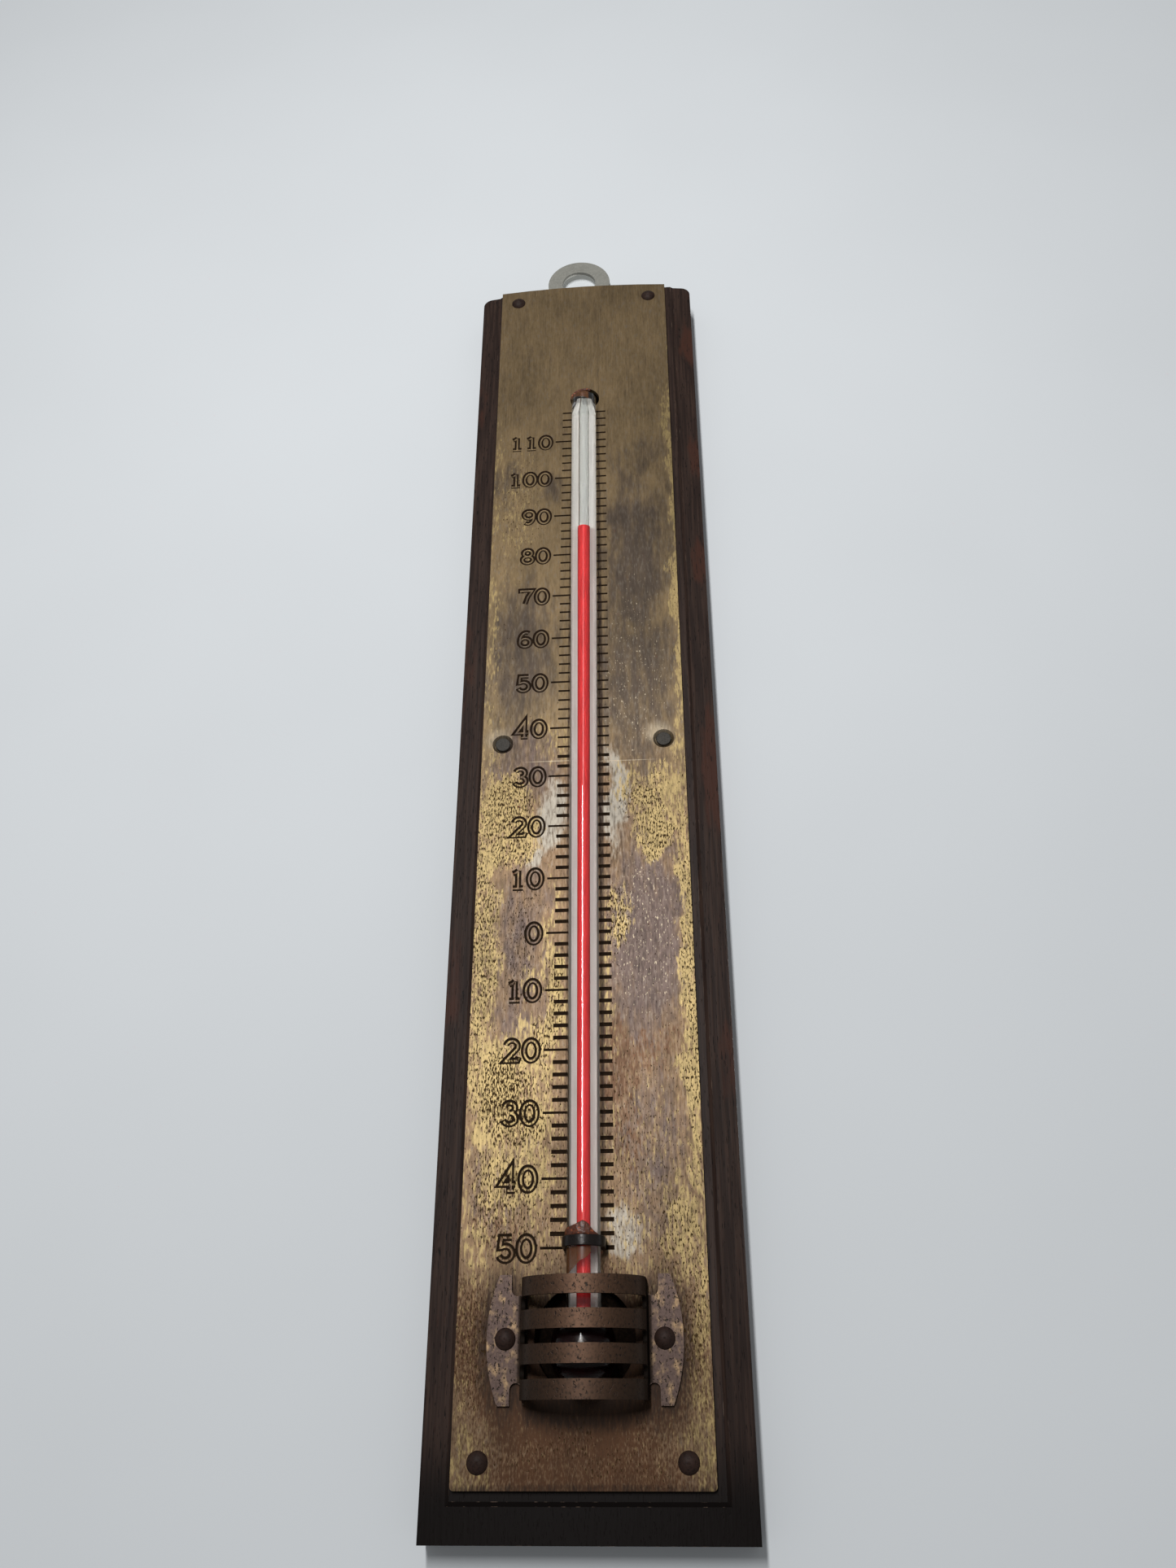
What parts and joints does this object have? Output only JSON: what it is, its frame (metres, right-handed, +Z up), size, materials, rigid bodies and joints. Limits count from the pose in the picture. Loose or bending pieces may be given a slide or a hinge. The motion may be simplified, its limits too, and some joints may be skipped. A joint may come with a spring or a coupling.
{
  "type": "wall thermometer",
  "caption": "Wall thermometer: red spirit tube on an aged brass scale plate with a slotted bulb guard, pinned to a dark wooden board with a swivel hanging ring.",
  "frame": {"origin": "middle of the board's flat back face, which lies against the wall", "axes": "+Z up along the tube, +Y into the wall, so the scale faces -Y, and +X to the reader's right"},
  "size_m": [0.065, 0.0228, 0.3598],
  "materials": {
    "dark_oak": "dark stained oak, worn satin varnish",
    "scale_brass": "aged brushed brass with brown and mauve tarnish",
    "guard_brass": "dark tarnished brass sheet",
    "stem_glass": "clear glass",
    "white_enamel": "white enamel fused in glass",
    "red_spirit": "dyed red spirit",
    "strap_iron": "blackened iron",
    "copper_pin": "brown oxidised copper-coloured brass",
    "nail_steel": "dull steel",
    "zinc_steel": "dull galvanised sheet",
    "brown_cement": "hard red-brown sealing cement"
  },
  "bodies": {
    "board": {"backboard": "dark_oak", "scale_plate": "scale_brass", "glass_stem": "stem_glass", "glass_bulb": "stem_glass", "enamel_strip": "white_enamel", "bulb_spirit": "red_spirit", "tube_strap": "strap_iron", "bulb_guard": "guard_brass", "guard_pins": "copper_pin", "plate_pins": "copper_pin", "middle_nails": "nail_steel", "tip_cement": "brown_cement", "strap_cement": "brown_cement", "hanger_screw": "nail_steel"},
    "spirit": {"spirit_column": "red_spirit"},
    "hanger": {"hanger_ring": "zinc_steel"}
  },
  "joints": [
    {"name": "spirit_level", "type": "slide", "parent": "board", "child": "spirit", "axis": [0, 0, 1], "range_m": [-0.18519, 0.04699], "deforming": ["spirit_column"]},
    {"name": "hanger_swivel", "type": "hinge", "parent": "board", "child": "hanger", "pos_m": [0, -0.0023, 0.1565], "axis": [0, -1, 0], "range_deg": [-24.5, 11.5]}
  ]
}
